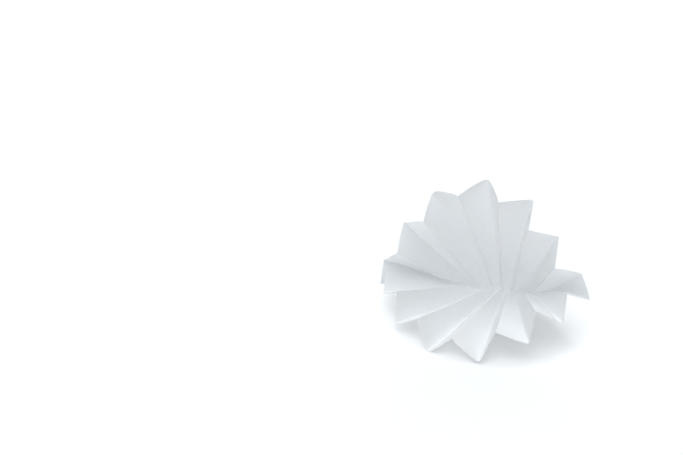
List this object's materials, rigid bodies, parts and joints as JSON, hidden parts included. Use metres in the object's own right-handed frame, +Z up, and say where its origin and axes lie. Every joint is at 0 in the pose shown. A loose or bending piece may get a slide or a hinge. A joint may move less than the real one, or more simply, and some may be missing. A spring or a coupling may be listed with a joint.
{
  "type": "folded filter paper",
  "caption": "Round filter paper folded in half and pleated into a fluted cup, opened and lying on its outer folds.",
  "frame": {"origin": "centre of the bounding box on the table, under the lowest folds", "axes": "+Z up from the table, +X along the longest extent, from the left end of the half fold to the right, -Y towards the open mouth of the cup"},
  "size_m": [0.1098, 0.077, 0.0738],
  "materials": {
    "filter_paper": "soft matt creped white paper"
  },
  "bodies": {
    "root": {"filter_paper": "filter_paper"}
  },
  "joints": []
}
